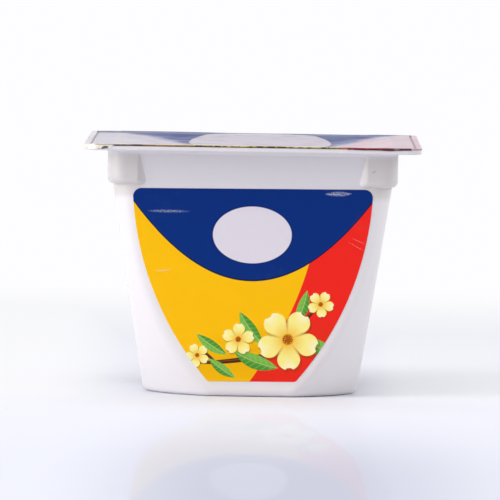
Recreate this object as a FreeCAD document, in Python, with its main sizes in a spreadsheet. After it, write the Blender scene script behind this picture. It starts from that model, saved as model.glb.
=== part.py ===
import FreeCAD, Part
import math
import os

import Sketcher
from FreeCAD import Vector

# A shut dessert cup of 180 g: a thermoformed tub with a square mouth and a nearly round
# foot, a sealed lid of printed foil that has sunk in the middle, and a label on the front.
# The tub is solid, because a shut pack shows no inside. Lengths are millimetres and angles
# degrees. The origin is the centre of the foot, +Z is up and the label faces -Y.

SIZES = [
    ("cup_height", 60.0, "foot to the sealing face of the flange"),
    ("foot_side", 51.1, "distance between opposite flat walls at the foot"),
    ("wall_draft", 8.484, "outward lean of the flat walls"),
    ("foot_panel", 17.4, "width of a flat wall at the foot"),
    ("shoulder_panel", 59.0, "width of a flat wall at the sealing face"),
    ("barrel_bulge", 3.8, "bulge in the profile of the barrel that rounds the corners"),
    ("ridge_round", 3.5, "edge between flat wall and barrel"),
    ("foot_round", 2.0, "edge between wall and foot"),
    ("panel_radius", 19.0, "raised panel in the foot"),
    ("panel_height", 1.0, "height of that panel above the standing ring"),
    ("panel_draft", 40.0, "slope of the panel's rim"),
    ("flange_overhang", 5.35, "reach of the flange beyond the walls' upper edge"),
    ("flange_corner", 3.5, "plan radius of the flange corners"),
    ("flange_thickness", 1.1, "thickness of the flange"),
    ("flange_rim_round", 0.35, "lower rim of the flange"),
    ("root_height", 0.9, "height of the sloping root between wall and flange"),
    ("root_slope", 45.0, "outward lean of that root"),
    ("lug_setback", 0.05, "the stacking lugs' faces lie this far inside the walls' upper edge"),
    ("lug_height", 9.3, "height of a stacking lug, measured from the sealing face"),
    ("lug_width", 7.2, "outer face of a lug, measured from the corner"),
    ("lug_corner", 4.2, "upright outer edge of a lug"),
    ("lug_bottom_round", 1.5, "lower edge of a lug"),
    ("flank_depth", 3.0, "how far a lug's slanting flank is cut into the wall"),
    ("flank_run", 4.9, "how far it moves along the wall over that depth"),
    ("flank_round", 1.0, "edge between a lug's face and its flank"),
    ("mouth_setback", 1.0, "inner edge of the seal, inside the walls' upper edge"),
    ("mouth_corner", 6.0, "plan radius of the seal's inner corners"),
    ("foil_sag", 3.5, "how far the foil has sunk in the middle"),
    ("foil_overlap", 0.15, "reach of the lid foil beyond the flange"),
    ("foil_thickness", 0.45, "thickness of the lid foil with its wrinkles"),
    ("label_thickness", 0.15, "thickness of the label"),
    ("label_low", 3.8, "distance of the label's lower edge from the foot, up the slope"),
    ("label_headroom", 0.65, "height from the label's upper edge to the lugs"),
    ("label_high_margin", 1.25, "distance kept at the label's upper edge to the ridges"),
    ("label_middle_margin", 1.7, "that distance halfway up the label"),
    ("label_low_margin", 2.5, "that distance at the label's lower edge"),
    ("label_shift", 0.48, "how far right of the middle the label is stuck, at the foot"),
    ("label_turn", 0.43, "how far the label leans to the left"),
    ("label_top_corner", 2.0, "upper corners of the label"),
    ("label_low_corner", 1.0, "lower corners of the label"),
]

# What follows from those sizes. The barrel_ rows find the centre of the bulging profile.
FORMULAS = [
    ("wall_top", "=foot_side / 2 + cup_height * tan(wall_draft * 1 deg)"),
    ("foot_radius", "=sqrt((foot_side / 2)^2 + (foot_panel / 2)^2)"),
    ("shoulder_radius", "=sqrt(wall_top^2 + (shoulder_panel / 2)^2)"),
    ("barrel_chord", "=sqrt((shoulder_radius - foot_radius)^2 + cup_height^2)"),
    ("barrel_arc", "=barrel_chord^2 / (8 * barrel_bulge) + barrel_bulge / 2"),
    ("barrel_rise", "=barrel_arc - barrel_bulge"),
    ("barrel_out",
     "=(foot_radius + shoulder_radius) / 2 - barrel_rise * cup_height / barrel_chord"),
    ("barrel_up",
     "=cup_height / 2 + barrel_rise * (shoulder_radius - foot_radius) / barrel_chord"),
    ("flange_side", "=2 * (wall_top + flange_overhang)"),
    ("foil_side", "=flange_side + 2 * foil_overlap"),
    ("foil_corner", "=flange_corner + foil_overlap"),
    ("root_low", "=cup_height - flange_thickness - root_height"),
    ("root_side", "=foot_side + 2 * root_low * tan(wall_draft * 1 deg)"),
    ("lug_spread", "=2 * (wall_top - lug_setback)"),
    ("gap_narrow", "=lug_spread - 2 * (lug_width + flank_run)"),
    ("gap_wide", "=lug_spread - 2 * (lug_width - flank_run)"),
    ("gap_near", "=lug_spread / 2 - flank_depth"),
    ("gap_far", "=lug_spread / 2 + flank_depth"),
    ("mouth_side", "=2 * (wall_top - mouth_setback)"),
    ("label_high", "=(cup_height - lug_height - label_headroom) / cos(wall_draft * 1 deg)"),
    ("label_middle", "=(label_low + label_high) / 2"),
]


def half_panel(slope_distance):
    """The formula for half the width of a flat wall, this far up its slope."""
    height = f"{slope_distance} * cos(wall_draft * 1 deg)"
    wall = f"(foot_side / 2 + {slope_distance} * sin(wall_draft * 1 deg))"
    barrel = f"(barrel_out + sqrt(barrel_arc^2 - ({height} - barrel_up)^2))"
    return f"sqrt({barrel}^2 - {wall}^2)"


def make_sheet(doc):
    """Puts the driving dimensions in a spreadsheet, then those that follow from them."""
    sheet = doc.addObject("Spreadsheet::Sheet", "Sizes")
    rows = [(alias, str(value), meaning) for alias, value, meaning in SIZES]
    rows += [(alias, formula, "follows from the sizes") for alias, formula in FORMULAS]
    for place in ("label_low", "label_middle", "label_high"):
        half = f"={half_panel(place)} - {place}_margin"
        rows.append((place + "_half", half, "half the label's width there"))
    for row, (alias, content, meaning) in enumerate(rows, start=1):
        sheet.set(f"A{row}", meaning)
        sheet.set(f"B{row}", content)
        sheet.setAlias(f"B{row}", alias)
        doc.recompute()
    return sheet


def new_body(doc, name):
    body = doc.addObject("PartDesign::Body", name)
    body.Label = name
    return body


def new_sketch(body, name, role):
    """Adds a sketch on one of the body's own origin planes."""
    plane = next(feature for feature in body.Origin.OriginFeatures if feature.Role == role)
    sketch = body.newObject("Sketcher::SketchObject", name)
    sketch.AttachmentSupport = [(plane, "")]
    sketch.MapMode = "FlatFace"
    return sketch


def bind(sketch, name, expression, constraint):
    """Adds a dimension to a sketch and ties it to the spreadsheet."""
    index = sketch.addConstraint(constraint)
    sketch.renameConstraint(index, name)
    sketch.setExpression(f"Constraints.{name}", expression)


def close_loop(sketch, edges):
    """Joins the end of each edge to the start of the next one."""
    for edge, following in zip(edges, edges[1:] + edges[:1]):
        sketch.addConstraint(Sketcher.Constraint("Coincident", edge, 2, following, 1))


def add_polygon(sketch, points):
    """Adds a closed loop of straight edges and returns their indices."""
    ends = [Vector(x, y, 0) for x, y in points]
    pairs = zip(ends, ends[1:] + ends[:1])
    edges = [sketch.addGeometry(Part.LineSegment(start, end), False) for start, end in pairs]
    close_loop(sketch, edges)
    return edges


def draw_square(sketch, side, side_size):
    """Draws a centred square with sharp corners, tied to an expression."""
    half = side / 2
    edges = add_polygon(sketch, [(-half, -half), (half, -half), (half, half), (-half, half)])
    for edge, direction in zip(edges, ("Horizontal", "Vertical") * 2):
        sketch.addConstraint(Sketcher.Constraint(direction, edge))
    sketch.addConstraint(Sketcher.Constraint("Symmetric", edges[0], 1, edges[2], 1, -1, 1))
    across = Sketcher.Constraint("DistanceX", edges[0], 1, edges[0], 2, side)
    along = Sketcher.Constraint("DistanceY", edges[1], 1, edges[1], 2, side)
    bind(sketch, "across", side_size, across)
    bind(sketch, "along", side_size, along)


def draw_rounded_square(sketch, side, radius, side_size, radius_size):
    """Draws a centred square whose corners are tangent arcs, tied to two expressions."""
    half = side / 2
    inner = half - radius
    starts = [(-inner, -half), (half, -inner), (inner, half), (-half, inner)]
    ends = [(inner, -half), (half, inner), (-inner, half), (-half, -inner)]
    centres = [(inner, -inner), (inner, inner), (-inner, inner), (-inner, -inner)]
    lines = []
    arcs = []
    for turn, (start, end, centre) in enumerate(zip(starts, ends, centres)):
        line = Part.LineSegment(Vector(*start, 0), Vector(*end, 0))
        circle = Part.Circle(Vector(*centre, 0), Vector(0, 0, 1), radius)
        first = math.radians(90 * turn - 90)
        lines.append(sketch.addGeometry(line, False))
        arcs.append(sketch.addGeometry(Part.ArcOfCircle(circle, first, first + math.pi / 2), False))
    for line, arc, following in zip(lines, arcs, lines[1:] + lines[:1]):
        sketch.addConstraint(Sketcher.Constraint("Tangent", line, 2, arc, 1))
        sketch.addConstraint(Sketcher.Constraint("Tangent", arc, 2, following, 1))
    for line, direction in zip(lines, ("Horizontal", "Vertical") * 2):
        sketch.addConstraint(Sketcher.Constraint(direction, line))
    for arc in arcs[1:]:
        sketch.addConstraint(Sketcher.Constraint("Equal", arcs[0], arc))
    sketch.addConstraint(Sketcher.Constraint("Symmetric", arcs[0], 3, arcs[2], 3, -1, 1))
    across = Sketcher.Constraint("DistanceX", lines[3], 1, lines[1], 1, side)
    along = Sketcher.Constraint("DistanceY", lines[0], 1, lines[2], 1, side)
    bind(sketch, "across", side_size, across)
    bind(sketch, "along", side_size, along)
    bind(sketch, "corner", radius_size, Sketcher.Constraint("Radius", arcs[0], radius))


def add_feature(body, kind, name, profile):
    feature = body.newObject(f"PartDesign::{kind}", name)
    feature.Profile = profile
    return feature


def add_fillet(body, name, radius, wanted):
    """Rounds those edges of the body so far for which wanted(edge) holds."""
    base = body.Tip
    edges = [f"Edge{k}" for k, edge in enumerate(base.Shape.Edges, start=1) if wanted(edge)]
    feature = body.newObject("PartDesign::Fillet", name)
    feature.Base = (base, edges)
    feature.setExpression("Radius", radius)
    body.Document.recompute()
    return feature


def level(edge, height):
    """Tells whether an edge lies flat at this height."""
    box = edge.BoundBox
    return abs(box.ZMin - height) < 1e-4 and abs(box.ZMax - height) < 1e-4


def is_flank(edge, sizes):
    """Tells whether an edge is the upright one between a lug's outer face and its flank."""
    box = edge.BoundBox
    face = sizes.lug_spread / 2
    near, far = sorted((abs(box.XMin), abs(box.YMin)))
    upright = max(box.XLength, box.YLength) < 1e-4 < box.ZLength
    return upright and abs(far - face) < 1e-4 and abs(near - face + sizes.lug_width) < 1e-3


def is_ridge(edge, sizes):
    """Tells whether an edge of the turned walls runs from the foot to the sealing face."""
    box = edge.BoundBox
    return box.ZLength > 0.9 * sizes.cup_height


def is_rim(edge, sizes):
    """Tells whether an edge belongs to the outline of the flange's lower face."""
    if not level(edge, sizes.cup_height - sizes.flange_thickness):
        return False
    box = edge.BoundBox
    reach = max(abs(box.XMin), abs(box.XMax), abs(box.YMin), abs(box.YMax))
    return abs(reach - sizes.flange_side / 2) < 1e-3


def turn_barrel(body, sizes):
    """Turns away all that lies outside the bulging barrel that rounds the corners."""
    sketch = new_sketch(body, "barrel_profile", "XZ_Plane")
    low = Vector(sizes.foot_radius, 0, 0)
    high = Vector(sizes.shoulder_radius, sizes.cup_height, 0)
    centre = Vector(sizes.barrel_out, sizes.barrel_up, 0)
    first, last = (math.atan2(end.y - centre.y, end.x - centre.x) for end in (low, high))
    circle = Part.Circle(centre, Vector(0, 0, 1), sizes.barrel_arc)
    arc = sketch.addGeometry(Part.ArcOfCircle(circle, first, last), False)
    outside = sizes.flange_side
    corners = [high, Vector(outside, high.y, 0), Vector(outside, 0, 0), low]
    pairs = zip(corners, corners[1:])
    lines = [sketch.addGeometry(Part.LineSegment(start, end), False) for start, end in pairs]
    close_loop(sketch, [arc, *lines])
    for line, direction in zip(lines, ("Horizontal", "Vertical", "Horizontal")):
        sketch.addConstraint(Sketcher.Constraint(direction, line))
    sketch.addConstraint(Sketcher.Constraint("PointOnObject", arc, 1, -1))
    from_axis = Sketcher.Constraint("DistanceX", -1, 1, arc, 1, low.x)
    bind(sketch, "low_radius", "Sizes.foot_radius", from_axis)
    from_axis = Sketcher.Constraint("DistanceX", -1, 1, arc, 2, high.x)
    bind(sketch, "high_radius", "Sizes.shoulder_radius", from_axis)
    from_foot = Sketcher.Constraint("DistanceY", -1, 1, arc, 2, high.y)
    bind(sketch, "height", "Sizes.cup_height", from_foot)
    bulge = Sketcher.Constraint("Radius", arc, sizes.barrel_arc)
    bind(sketch, "bulge", "Sizes.barrel_arc", bulge)
    from_axis = Sketcher.Constraint("DistanceX", -1, 1, lines[1], 1, outside)
    bind(sketch, "outside", "Sizes.flange_side", from_axis)
    body.Document.recompute()
    groove = add_feature(body, "Groove", "barrel", sketch)
    groove.ReferenceAxis = (sketch, ["V_Axis"])
    groove.Angle = 360
    body.Document.recompute()


def add_dish(body, sizes, kind, name, lift=""):
    """Lofts the sunken field of the lid from its middle up to the inner edge of the seal.

    kind is the PartDesign loft to use and lift an expression that raises the whole field."""
    rings = []
    for number, span in enumerate((0.08, 0.3, 0.55, 0.8, 1.0)):
        share = (span - 0.08) / 0.92
        roundness = span * 0.49 * (1 - share)
        depth = (1 - span**2) / (1 - 0.08**2)
        side = sizes.mouth_side * span
        corner = sizes.mouth_side * roundness + sizes.mouth_corner * share
        ring = new_sketch(body, f"{name}_ring_{number}", "XY_Plane")
        height = f"Sizes.cup_height - Sizes.foil_sag * {depth:.4f}{lift}"
        ring.setExpression("AttachmentOffset.Base.z", height)
        side_size = f"Sizes.mouth_side * {span}"
        corner_size = f"Sizes.mouth_side * {roundness:.4f} + Sizes.mouth_corner * {share:.4f}"
        draw_rounded_square(ring, side, corner, side_size, corner_size)
        rings.append(ring)
    body.Document.recompute()
    loft = add_feature(body, kind, name, rings[0])
    loft.Sections = rings[1:]
    body.Document.recompute()


def make_lugs(doc, sizes):
    """The four stacking lugs, joined by the square column that lies inside the tub."""
    body = new_body(doc, "lugs")
    outline = new_sketch(body, "lug_outline", "XY_Plane")
    outline.setExpression("AttachmentOffset.Base.z", "Sizes.cup_height")
    draw_rounded_square(
        outline, sizes.lug_spread, sizes.lug_corner, "Sizes.lug_spread", "Sizes.lug_corner")
    doc.recompute()
    column = add_feature(body, "Pad", "lug_column", outline)
    column.setExpression("Length", "Sizes.lug_height")
    column.Reversed = True
    doc.recompute()
    bottom = sizes.cup_height - sizes.lug_height
    add_fillet(body, "lug_bottoms", "Sizes.lug_bottom_round", lambda edge: level(edge, bottom))

    gap = new_sketch(body, "gap_profile", "XY_Plane")
    gap.setExpression("AttachmentOffset.Base.z", "Sizes.cup_height")
    wide = sizes.gap_wide / 2
    narrow = sizes.gap_narrow / 2
    far = sizes.gap_far
    near = sizes.gap_near
    edges = add_polygon(gap, [(-wide, -far), (wide, -far), (narrow, -near), (-narrow, -near)])
    gap.addConstraint(Sketcher.Constraint("Symmetric", edges[0], 1, edges[0], 2, -2))
    gap.addConstraint(Sketcher.Constraint("Symmetric", edges[2], 1, edges[2], 2, -2))
    width = Sketcher.Constraint("DistanceX", edges[0], 1, edges[0], 2, 2 * wide)
    bind(gap, "wide", "Sizes.gap_wide", width)
    width = Sketcher.Constraint("DistanceX", edges[2], 2, edges[2], 1, 2 * narrow)
    bind(gap, "narrow", "Sizes.gap_narrow", width)
    depth = Sketcher.Constraint("DistanceY", edges[0], 1, -1, 1, far)
    bind(gap, "far", "Sizes.gap_far", depth)
    depth = Sketcher.Constraint("DistanceY", edges[2], 1, -1, 1, near)
    bind(gap, "near", "Sizes.gap_near", depth)
    doc.recompute()
    cut = add_feature(body, "Pocket", "gap", gap)
    cut.Type = "ThroughAll"
    doc.recompute()
    gaps = body.newObject("PartDesign::PolarPattern", "gaps")
    gaps.Originals = [cut]
    gaps.Axis = (gap, ["N_Axis"])
    gaps.Angle = 360
    gaps.Occurrences = 4
    body.Tip = gaps
    doc.recompute()
    add_fillet(body, "flanks", "Sizes.flank_round", lambda edge: is_flank(edge, sizes))
    return body


def make_tub(doc, sizes):
    """The tub with its contents, as one solid: tapered square walls turned to a barrel at
    the corners, with stacking lugs, a flange and a raised panel in the foot."""
    body = new_body(doc, "tub")
    foot = new_sketch(body, "foot_outline", "XY_Plane")
    draw_square(foot, sizes.foot_side, "Sizes.foot_side")
    doc.recompute()
    walls = add_feature(body, "Pad", "walls", foot)
    walls.setExpression("Length", "Sizes.cup_height")
    walls.setExpression("TaperAngle", "Sizes.wall_draft")
    doc.recompute()
    turn_barrel(body, sizes)
    add_fillet(body, "ridges", "Sizes.ridge_round", lambda edge: is_ridge(edge, sizes))
    add_fillet(body, "foot_edge", "Sizes.foot_round", lambda edge: level(edge, 0))

    fused = body.newObject("PartDesign::Boolean", "stacking_lugs")
    fused.Type = "Fuse"
    fused.Group = [make_lugs(doc, sizes)]
    body.Tip = fused
    doc.recompute()

    outline = new_sketch(body, "root_outline", "XY_Plane")
    outline.setExpression("AttachmentOffset.Base.z", "Sizes.root_low")
    draw_rounded_square(
        outline, sizes.root_side, sizes.lug_corner, "Sizes.root_side", "Sizes.lug_corner")
    doc.recompute()
    root = add_feature(body, "Pad", "root", outline)
    root.setExpression("Length", "Sizes.root_height")
    root.setExpression("TaperAngle", "Sizes.root_slope")
    doc.recompute()

    outline = new_sketch(body, "flange_outline", "XY_Plane")
    outline.setExpression("AttachmentOffset.Base.z", "Sizes.cup_height")
    draw_rounded_square(
        outline, sizes.flange_side, sizes.flange_corner, "Sizes.flange_side", "Sizes.flange_corner")
    doc.recompute()
    flange = add_feature(body, "Pad", "flange", outline)
    flange.setExpression("Length", "Sizes.flange_thickness")
    flange.Reversed = True
    doc.recompute()
    add_fillet(body, "flange_rim", "Sizes.flange_rim_round", lambda edge: is_rim(edge, sizes))

    panel = new_sketch(body, "panel_outline", "XY_Plane")
    circle = panel.addGeometry(Part.Circle(Vector(), Vector(0, 0, 1), sizes.panel_radius), False)
    panel.addConstraint(Sketcher.Constraint("Coincident", circle, 3, -1, 1))
    radius = Sketcher.Constraint("Radius", circle, sizes.panel_radius)
    bind(panel, "radius", "Sizes.panel_radius", radius)
    doc.recompute()
    recess = add_feature(body, "Pocket", "panel", panel)
    recess.setExpression("Length", "Sizes.panel_height")
    recess.setExpression("TaperAngle", "-Sizes.panel_draft")
    recess.Reversed = True
    doc.recompute()
    add_dish(body, sizes, "SubtractiveLoft", "sunken_field")
    return body


def make_lid_foil(doc, sizes):
    """The printed foil, sealed flat on the flange and sunken within the seal."""
    body = new_body(doc, "lid_foil")
    add_dish(body, sizes, "AdditiveLoft", "membrane")
    outline = new_sketch(body, "foil_outline", "XY_Plane")
    outline.setExpression("AttachmentOffset.Base.z", "Sizes.cup_height")
    draw_rounded_square(
        outline, sizes.foil_side, sizes.foil_corner, "Sizes.foil_side", "Sizes.foil_corner")
    doc.recompute()
    sheet = add_feature(body, "Pad", "sealed_sheet", outline)
    sheet.setExpression("Length", "Sizes.foil_thickness")
    doc.recompute()
    add_dish(body, sizes, "SubtractiveLoft", "upper_side", " + Sizes.foil_thickness")
    return body


def make_front_label(doc, sizes):
    """The label, a slab on the sloping front wall whose bowed sides follow the ridges."""
    body = new_body(doc, "front_label")
    outline = new_sketch(body, "label_outline", "XZ_Plane")
    outline.setExpression(
        "AttachmentOffset",
        "placement(vector(Sizes.label_shift; 0; Sizes.foot_side / 2);"
        " rotation(vector(1; 0; 0); Sizes.wall_draft)"
        " * rotation(vector(0; 0; 1); Sizes.label_turn))")
    low = Vector(sizes.label_low_half, sizes.label_low, 0)
    middle = Vector(sizes.label_middle_half, sizes.label_middle, 0)
    high = Vector(sizes.label_high_half, sizes.label_high, 0)
    mirrored = [Vector(-end.x, end.y, 0) for end in (high, middle, low)]
    loop = [
        Part.LineSegment(mirrored[2], low),
        Part.Arc(low, middle, high),
        Part.LineSegment(high, mirrored[0]),
        Part.Arc(*mirrored),
    ]
    edges = [outline.addGeometry(edge, False) for edge in loop]
    close_loop(outline, edges)
    bottom, right, top, left = edges
    outline.addConstraint(Sketcher.Constraint("Symmetric", bottom, 1, bottom, 2, -2))
    outline.addConstraint(Sketcher.Constraint("Symmetric", top, 1, top, 2, -2))
    outline.addConstraint(Sketcher.Constraint("Equal", right, left))
    guide = outline.addGeometry(Part.Point(middle), True)
    outline.addConstraint(Sketcher.Constraint("PointOnObject", guide, 1, right))
    corners = [("low", bottom, 2, low), ("middle", guide, 1, middle), ("high", top, 1, high)]
    for place, edge, end, target in corners:
        across = Sketcher.Constraint("DistanceX", -1, 1, edge, end, target.x)
        up = Sketcher.Constraint("DistanceY", -1, 1, edge, end, target.y)
        bind(outline, place + "_half", f"Sizes.label_{place}_half", across)
        bind(outline, place + "_up", f"Sizes.label_{place}", up)
    doc.recompute()
    slab = add_feature(body, "Pad", "slab", outline)
    slab.setExpression("Length", "Sizes.label_thickness")
    doc.recompute()
    waist = sizes.cup_height / 2
    short = 1.5 * sizes.label_thickness
    add_fillet(body, "upper_corners", "Sizes.label_top_corner",
               lambda edge: edge.Length < short and edge.BoundBox.ZMin > waist)
    add_fillet(body, "lower_corners", "Sizes.label_low_corner",
               lambda edge: edge.Length < short and edge.BoundBox.ZMax < waist)
    return body


def check(doc, bodies):
    """Stops the build when a feature failed, a cut took nothing away, or a sub-part isn't
    one sound solid."""
    cuts = ("PartDesign::Groove", "PartDesign::Pocket", "PartDesign::SubtractiveLoft")
    for item in doc.Objects:
        if item.TypeId in cuts and item.Shape.Volume > item.BaseFeature.Shape.Volume - 1:
            raise RuntimeError(f"{item.Name} takes nothing away")
        if "Invalid" in item.State or "Error" in item.State:
            raise RuntimeError(f"{item.Name} failed: {item.State}")
        if hasattr(item, "Shape") and item.Shape.isNull():
            raise RuntimeError(f"{item.Name} has no shape")
    for body in bodies:
        if not body.Shape.isValid() or len(body.Shape.Solids) != 1:
            raise RuntimeError(f"{body.Label} isn't one sound solid")


def main():
    doc = FreeCAD.newDocument("dessert_cup")
    sizes = make_sheet(doc)
    bodies = [make_tub(doc, sizes), make_lid_foil(doc, sizes), make_front_label(doc, sizes)]
    doc.recompute()
    check(doc, bodies)
    os.makedirs("parts", exist_ok=True)
    for body in bodies:
        body.Shape.exportStep(f"parts/{body.Label}.step")
        box = body.Shape.optimalBoundingBox(False)
        print(f"{body.Label}: {body.Shape.Volume:.0f} mm3, {len(body.Shape.Faces)} faces,"
              f" {box.XLength:.2f} x {box.YLength:.2f} x {box.ZLength:.2f} mm")


main()
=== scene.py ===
"""Looks of a shut dessert cup: its foil lid, printed label, moulded plastic and stage.

The packed CAD model is loaded as the frame. Every size here is in metres, in that frame:
the origin is the centre of the foot, +Z is up and the label faces -Y. The print is drawn
in millimetres, across and up the label.
"""

import math

import bpy
from bpy.props import FloatProperty, FloatVectorProperty, IntProperty, PointerProperty
from bpy.types import Operator, Panel, PropertyGroup
from mathutils import Matrix, Vector


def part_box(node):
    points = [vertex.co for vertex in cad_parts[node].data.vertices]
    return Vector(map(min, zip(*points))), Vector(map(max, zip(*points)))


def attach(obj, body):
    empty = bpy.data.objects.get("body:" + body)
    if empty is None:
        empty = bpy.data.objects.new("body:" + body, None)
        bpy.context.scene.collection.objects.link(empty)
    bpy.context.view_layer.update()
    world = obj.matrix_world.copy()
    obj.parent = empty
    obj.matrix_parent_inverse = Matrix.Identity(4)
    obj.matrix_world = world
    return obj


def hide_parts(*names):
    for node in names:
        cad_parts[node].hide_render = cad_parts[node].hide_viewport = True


bl_info = {
    "name": "Dessert cup",
    "version": (1, 0, 0),
    "blender": (4, 5, 0),
    "location": "3D View > Sidebar > Dessert cup",
    "description": "Builds the foil lid, the print and the plastic finish of a dessert cup",
    "category": "Add Mesh",
}

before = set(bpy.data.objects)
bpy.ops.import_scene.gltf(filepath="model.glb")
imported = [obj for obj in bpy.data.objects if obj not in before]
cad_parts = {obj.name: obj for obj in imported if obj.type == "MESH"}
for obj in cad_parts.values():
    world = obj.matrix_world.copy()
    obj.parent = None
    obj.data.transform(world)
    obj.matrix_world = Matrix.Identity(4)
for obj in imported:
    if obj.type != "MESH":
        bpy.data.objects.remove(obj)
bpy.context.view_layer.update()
MM = 0.001
FOIL_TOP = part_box("lid_foil")[1].z
WHITE = (0.985, 0.985, 1.0, 1.0)  # the backdrop, and the floor far from the cup


def colour(name, description, default):
    """A colour that a user may change, as linear red, green and blue."""
    return FloatVectorProperty(
        name=name, description=description, subtype="COLOR", size=3, min=0, max=1,
        default=default)


def number(name, description, default, **settings):
    """A number that a user may change."""
    return FloatProperty(name=name, description=description, default=default, **settings)


def length(name, description, default):
    """A length in metres that a user may change."""
    return number(name, description, default, unit="LENGTH", precision=5)


def angle(name, description, degrees):
    """An angle that a user may change."""
    return number(name, description, math.radians(degrees), unit="ROTATION")


# ---------------------------------------------------------------- sizes and colours


class PrintColours(PropertyGroup):
    """Inks of the print on the label and the lid."""

    blue: colour("Blue field", "Upper field of the print", (0.0008, 0.026, 0.190))
    outline: colour("Outline", "Thin line along the blue field", (0.001, 0.006, 0.045))
    yellow: colour("Yellow field", "Left field of the print", (0.98, 0.525, 0.002))
    red: colour("Red field", "Right field of the print", (0.88, 0.020, 0.012))
    plain: colour("Plain oval", "Bare oval in the blue field", (0.74, 0.69, 0.75))
    # This grey is the bare foil, and on the lid's print also a painted reflection at its
    # sides.
    bare_foil_and_reflection: colour("Bare foil", "Unprinted parts of the lid", (0.54, 0.50, 0.57))
    # This pale blue is a painted sheen in streaks on the lid's blue field, and also real wear
    # on the lid's rim and streaks near its right side.
    wear_and_sheen: colour("Worn blue", "Blue field where the foil is pulled", (0.33, 0.34, 0.60))
    blush: colour("Blush", "Streaks of red on the bare foil", (0.86, 0.22, 0.26))
    petal: colour("Petals", "Outer part of the blossom petals", (0.98, 0.86, 0.26))
    heart: colour("Petal base", "Inner part of the blossom petals", (0.93, 0.50, 0.02))
    leaf: colour("Leaves", "Leaves of the sprig", (0.07, 0.30, 0.035))
    twig: colour("Twig", "Twig of the sprig", (0.075, 0.018, 0.006))


class TubFinish(PropertyGroup):
    """Finish of the moulded tub."""

    plastic: colour("Plastic", "White wall with the filling behind it", (0.815, 0.78, 0.79))
    # A painted shade: the colour of the band of wall below the flange.
    painted_light: colour("Thin plastic", "White wall with no filling behind it", (0.715, 0.685, 0.71))
    dust: colour("Dust", "Specks and rubbed marks on the plastic", (0.34, 0.31, 0.30))
    ripple: length("Ripple", "Depth of the soft waves left by moulding", 0.00006)


class LidSizes(PropertyGroup):
    """Sizes of the foil lid."""

    side: length("Side", "Width of the foil", 0.07996)
    corner: length("Corner radius", "Plan radius of the foil's corners", 0.0038)
    cells: IntProperty(
        name="Cells", description="Cells of the sheet along a side", default=132, min=20)
    thickness: length("Thickness", "Thickness of the foil", 0.00008)
    clearance: length("Clearance", "Room left above the foil for its waves", 0.00024)
    far_rise: length("Far rise", "How far the foil's far edge stands up", 0.00024)
    curl: length("Curl", "How far the foil's front edge curls up", 0.00022)
    seal_inset: length("Seal inset", "Distance of the seal crease from the edge", 0.00155)
    crease: length("Seal crease", "Depth of the seal crease", 0.00008)
    lip: length("Lip", "Height of the foil's turned-down edge", 0.00022)
    ripple: length("Ripple", "Height of the foil's soft waves", 0.00024)


class StageSizes(PropertyGroup):
    """Camera, lamps and floor."""

    aim: FloatVectorProperty(
        name="Aim", description="Point that the camera looks at", unit="LENGTH", size=3,
        default=(-0.00049, 0.0, 0.03367))
    distance: length("Camera distance", "From the camera to the aim", 1.757)
    turn: angle("Turn", "Camera's turn to the right of the front", 0.167)
    elevation: angle("Elevation", "Camera's height as an angle", 3.177)
    roll: angle("Roll", "Camera's tilt to its left", 0.903)
    lens: number("Lens", "Focal length in millimetres", 523.56)
    sheet: colour("Sheet", "Floor and backdrop", (0.76, 0.765, 0.81))
    shine: number("Shine", "Share of the mirror image in the floor", 0.09, min=0, max=1)
    lean: number(
        "Lean", "How far the gloss in front of the cup leans to the front", 0.046, min=0,
        max=0.2)


# ---------------------------------------------------------------- node arithmetic


class Signal:
    """An output of a node, on which arithmetic adds Math nodes."""

    def __init__(self, tree, socket):
        self.tree = tree
        self.socket = socket

    def math(self, operation, *others, clamp=False):
        node = self.tree.nodes.new("ShaderNodeMath")
        node.operation = operation
        node.use_clamp = clamp
        for place, value in enumerate((self, *others)):
            plug(self.tree, value, node.inputs[place])
        return Signal(self.tree, node.outputs[0])

    def __add__(self, other):
        return self.math("ADD", other)

    def __sub__(self, other):
        return self.math("SUBTRACT", other)

    def __rsub__(self, other):
        return self.math("MULTIPLY", -1.0).math("ADD", other)

    def __mul__(self, other):
        return self.math("MULTIPLY", other)

    def __truediv__(self, other):
        return self.math("DIVIDE", other)

    __radd__ = __add__
    __rmul__ = __mul__

    def __abs__(self):
        return self.math("ABSOLUTE")

    def most(self, other):
        """The larger of this and another signal."""
        return self.math("MAXIMUM", other)

    def step(self, softness):
        """1 where the signal is above 0 and 0 below, with a soft edge this wide."""
        return self.math("MULTIPLY_ADD", 1.0 / softness, 0.5, clamp=True)

    def ramp(self, low, high, to_low=0.0, to_high=1.0):
        """Moves the signal from one range to another, with a smooth start and end."""
        node = add_node(self.tree, "MapRange", {
            "Value": self, "From Min": low, "From Max": high, "To Min": to_low,
            "To Max": to_high}, interpolation_type="SMOOTHSTEP")
        return Signal(self.tree, node.outputs[0])


def plug(tree, value, socket):
    """Feeds a node's input from a signal, a socket or a plain value."""
    if isinstance(value, Signal):
        tree.links.new(value.socket, socket)
    elif isinstance(value, bpy.types.NodeSocket):
        tree.links.new(value, socket)
    else:
        socket.default_value = value


def add_node(tree, kind, inputs=None, **settings):
    """Adds a node, sets its properties and feeds its inputs by name or number."""
    node = tree.nodes.new("ShaderNode" + kind)
    for name, value in settings.items():
        setattr(node, name, value)
    for name, value in (inputs or {}).items():
        plug(tree, value, node.inputs[name])
    return node


def split(tree, vector):
    """The three parts of a vector as signals."""
    node = add_node(tree, "SeparateXYZ", {0: vector})
    return [Signal(tree, socket) for socket in node.outputs]


def noise(tree, position, scale, detail=3.0, roughness=0.5, stretch=None):
    """Cloudy noise from 0 to 1, scale being its number of cells per unit."""
    if stretch:
        position = add_node(
            tree, "VectorMath", {0: position, 1: stretch}, operation="MULTIPLY").outputs[0]
    node = add_node(tree, "TexNoise", {
        "Vector": position, "Scale": scale, "Detail": detail, "Roughness": roughness})
    return Signal(tree, node.outputs[0])


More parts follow.
